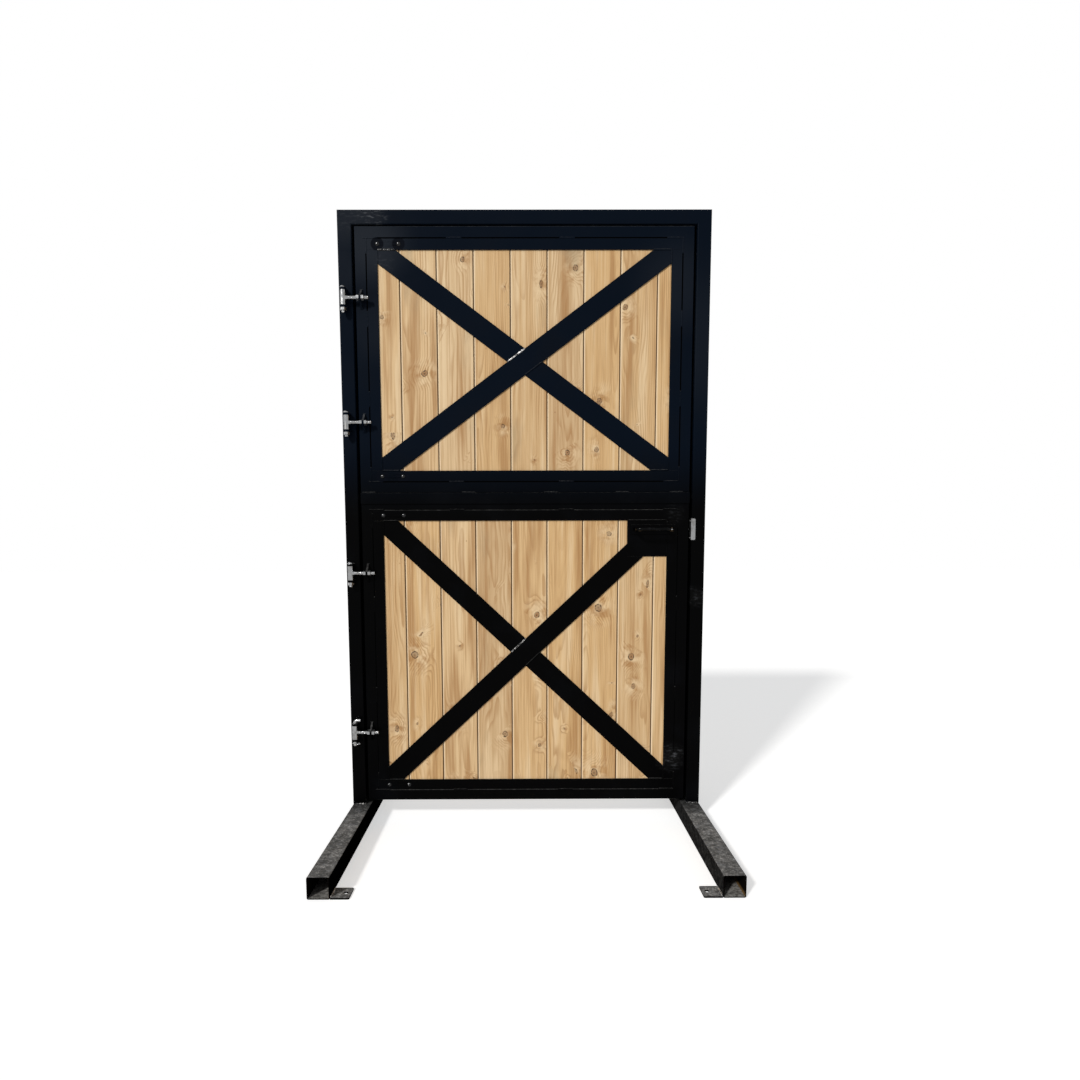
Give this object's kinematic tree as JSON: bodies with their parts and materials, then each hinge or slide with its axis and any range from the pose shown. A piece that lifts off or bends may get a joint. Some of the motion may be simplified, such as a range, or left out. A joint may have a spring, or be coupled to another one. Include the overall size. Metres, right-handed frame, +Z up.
{
  "type": "dutch door",
  "caption": "Free-standing Dutch stall door: black steel frame on square feet, split leaves with boards and X braces, barrel hinges and a sliding latch.",
  "frame": {"origin": "on the floor, at mid width of the frame and mid depth of the jambs", "axes": "+Z up, +X to the latch side seen from the front, -Y towards the front, the side with the hinges and the handle"},
  "size_m": [1.32, 1.219, 2.226],
  "materials": {
    "frame_paint": "black semi-gloss paint with light scuffs",
    "foot_paint": "black paint under grey dust",
    "leaf_paint": "black semi-gloss paint",
    "boards": "planed softwood with knots, clear oil",
    "zinc": "bright zinc plate"
  },
  "bodies": {
    "frame": {"hinge_jamb": "frame_paint", "latch_jamb": "frame_paint", "head": "frame_paint", "left_foot": "foot_paint", "right_foot": "foot_paint", "anchor_tabs": "foot_paint", "door_stops": "frame_paint", "hinge_ears": "frame_paint", "hinge_bolts": "zinc", "hinge_bolt_nuts": "zinc", "pull_pin": "zinc", "hairpin_clip": "zinc", "strike": "zinc", "strike_screws": "zinc"},
    "lower_leaf": {"lower_board_1": "boards", "lower_board_2": "boards", "lower_board_3": "boards", "lower_board_4": "boards", "lower_board_5": "boards", "lower_board_6": "boards", "lower_board_7": "boards", "lower_board_8": "boards", "lower_board_9": "boards", "lower_bottom_rail": "leaf_paint", "lower_channels": "leaf_paint", "lower_flange_bolts": "leaf_paint", "lower_hinge_eyes": "zinc", "lower_hinge_stile": "leaf_paint", "lower_latch_stile": "leaf_paint", "lower_long_brace": "leaf_paint", "lower_rod_nuts": "zinc", "lower_short_braces": "leaf_paint", "lower_stile_tabs": "leaf_paint", "lower_top_rail": "leaf_paint", "latch_plate": "leaf_paint", "latch_cover": "leaf_paint"},
    "latch": {"latch_bolt": "zinc", "latch_handle": "leaf_paint"},
    "upper_leaf": {"upper_board_1": "boards", "upper_board_2": "boards", "upper_board_3": "boards", "upper_board_4": "boards", "upper_board_5": "boards", "upper_board_6": "boards", "upper_board_7": "boards", "upper_board_8": "boards", "upper_board_9": "boards", "upper_bottom_rail": "leaf_paint", "upper_channels": "leaf_paint", "upper_flange_bolts": "leaf_paint", "upper_hinge_eyes": "zinc", "upper_hinge_stile": "leaf_paint", "upper_latch_stile": "leaf_paint", "upper_long_brace": "leaf_paint", "upper_rod_nuts": "zinc", "upper_short_braces": "leaf_paint", "upper_stile_tabs": "leaf_paint", "upper_top_rail": "leaf_paint", "lap_strip": "leaf_paint"}
  },
  "joints": [
    {"name": "lower_swing", "type": "hinge", "parent": "frame", "child": "lower_leaf", "pos_m": [-0.64, -0.047, 0.6], "axis": [0, 0, -1], "range_deg": [0, 105]},
    {"name": "upper_swing", "type": "hinge", "parent": "lower_leaf", "child": "upper_leaf", "pos_m": [-0.64, -0.047, 1.7], "axis": [0, 0, -1], "range_deg": [0, 105]},
    {"name": "latch_slide", "type": "slide", "parent": "lower_leaf", "child": "latch", "axis": [1, 0, 0], "range_m": [0, 0.018]}
  ]
}
